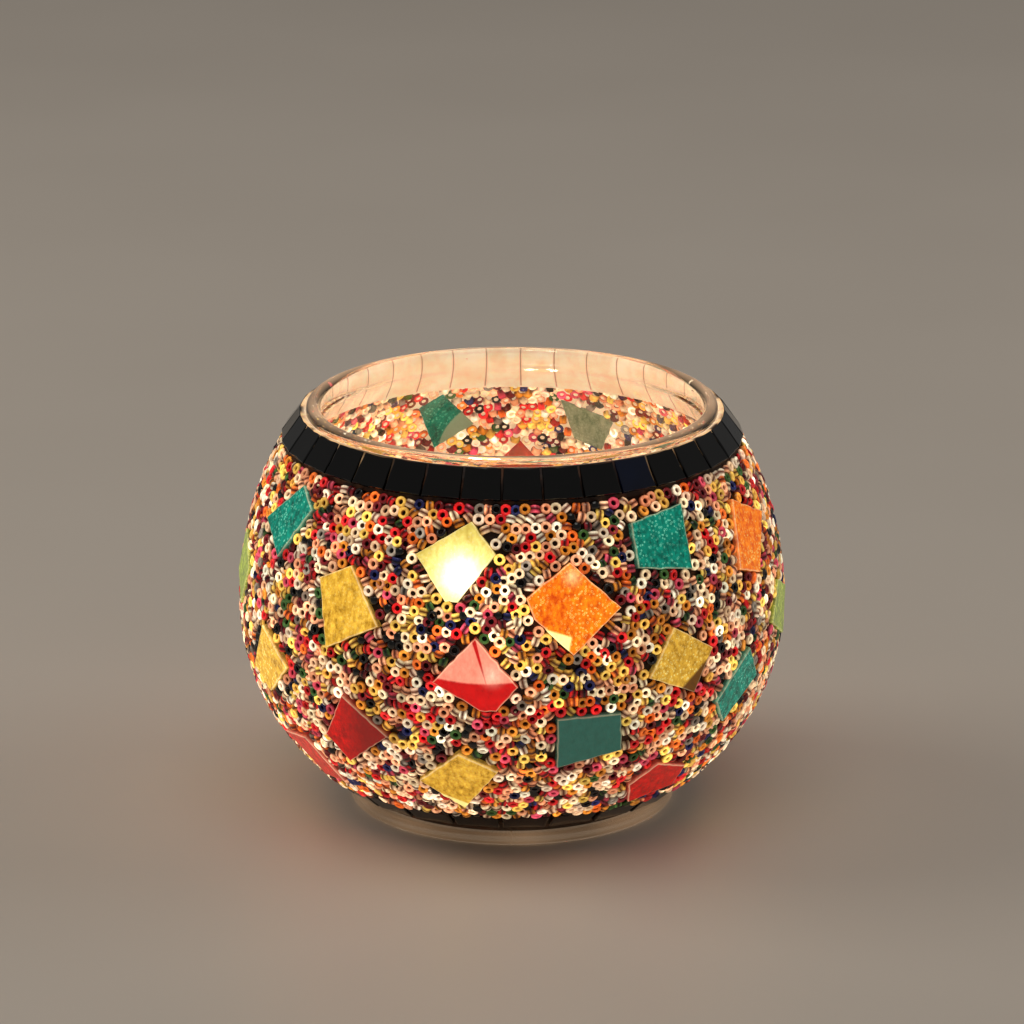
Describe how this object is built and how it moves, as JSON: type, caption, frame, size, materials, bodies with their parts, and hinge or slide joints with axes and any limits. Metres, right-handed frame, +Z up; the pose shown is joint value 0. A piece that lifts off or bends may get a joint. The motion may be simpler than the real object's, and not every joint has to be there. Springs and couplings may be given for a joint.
{
  "type": "mosaic candle bowl",
  "caption": "Round open-topped glass candle bowl clad in seed beads and hand-cut coloured glass tiles, with a black tile border and a loose tealight inside.",
  "frame": {"origin": "middle of the glass foot's underside, on the surface the bowl stands on", "axes": "+Z up along the bowl's axis of turning, -Y towards the front, +X to the right seen from the front"},
  "size_m": [0.12, 0.1201, 0.09],
  "materials": {
    "dark_glass": "dark polished glass",
    "seed_beads": "mixed glass seed beads, silver-lined and transparent",
    "navy_glass": "polished navy glass",
    "black_glass": "polished opaque black glass",
    "clear_glass": "clear, fire-polished lip",
    "cream_adhesive": "set white adhesive, warm where candlelight shows through",
    "teal_glass": "hand-cut teal art glass",
    "lime_glass": "hand-cut lime art glass",
    "gold_glass": "hand-cut gold art glass",
    "yellow_glass": "hand-cut yellow art glass",
    "orange_glass": "hand-cut orange art glass",
    "rose_glass": "hand-cut rose art glass",
    "red_glass": "hand-cut red art glass",
    "sage_glass": "hand-cut sage art glass",
    "thin_aluminium": "pressed foil",
    "candle_wax": "partly melted paraffin",
    "wick_cord": "braided cotton, charred at the tip",
    "tinned_steel": "tinned sheet"
  },
  "bodies": {
    "bowl": {"base_tiles": "dark_glass", "bead_jacket": "seed_beads", "border_tile_blue": "navy_glass", "border_tiles": "black_glass", "glass_bowl": "clear_glass", "grout_bed": "cream_adhesive", "mosaic_tile_01_teal": "teal_glass", "mosaic_tile_02_lime": "lime_glass", "mosaic_tile_03_gold": "gold_glass", "mosaic_tile_04_yellow": "yellow_glass", "mosaic_tile_05_orange": "orange_glass", "mosaic_tile_06_teal": "teal_glass", "mosaic_tile_07_orange": "orange_glass", "mosaic_tile_08_lime": "lime_glass", "mosaic_tile_09_gold": "gold_glass", "mosaic_tile_10_teal": "teal_glass", "mosaic_tile_11_rose": "rose_glass", "mosaic_tile_12_red": "red_glass", "mosaic_tile_13_red": "red_glass", "mosaic_tile_14_gold": "gold_glass", "mosaic_tile_15_teal": "teal_glass", "mosaic_tile_16_red": "red_glass", "mosaic_tile_17_gold": "gold_glass", "mosaic_tile_18_gold": "gold_glass", "mosaic_tile_19_sage": "sage_glass", "mosaic_tile_20_teal": "teal_glass", "mosaic_tile_21_orange": "orange_glass", "mosaic_tile_22_teal": "teal_glass", "mosaic_tile_23_red": "red_glass", "mosaic_tile_24_gold": "gold_glass", "mosaic_tile_25_red": "red_glass", "mosaic_tile_26_orange": "orange_glass", "mosaic_tile_27_gold": "gold_glass", "mosaic_tile_28_teal": "teal_glass", "mosaic_tile_29_orange": "orange_glass", "mosaic_tile_30_red": "red_glass", "mosaic_tile_31_teal": "teal_glass", "mosaic_tile_32_red": "red_glass", "mosaic_tile_33_gold": "gold_glass", "mosaic_tile_34_teal": "teal_glass", "mosaic_tile_35_gold": "gold_glass", "mosaic_tile_36_orange": "orange_glass", "mosaic_tile_37_teal": "teal_glass"},
    "tealight": {"tealight_cup": "thin_aluminium", "tealight_wax": "candle_wax", "wick": "wick_cord", "wick_sustainer": "tinned_steel"}
  },
  "joints": [
    {"name": "candle_lift", "type": "slide", "parent": "bowl", "child": "tealight", "axis": [0, 0, 1], "range_m": [0, 0.1]}
  ]
}
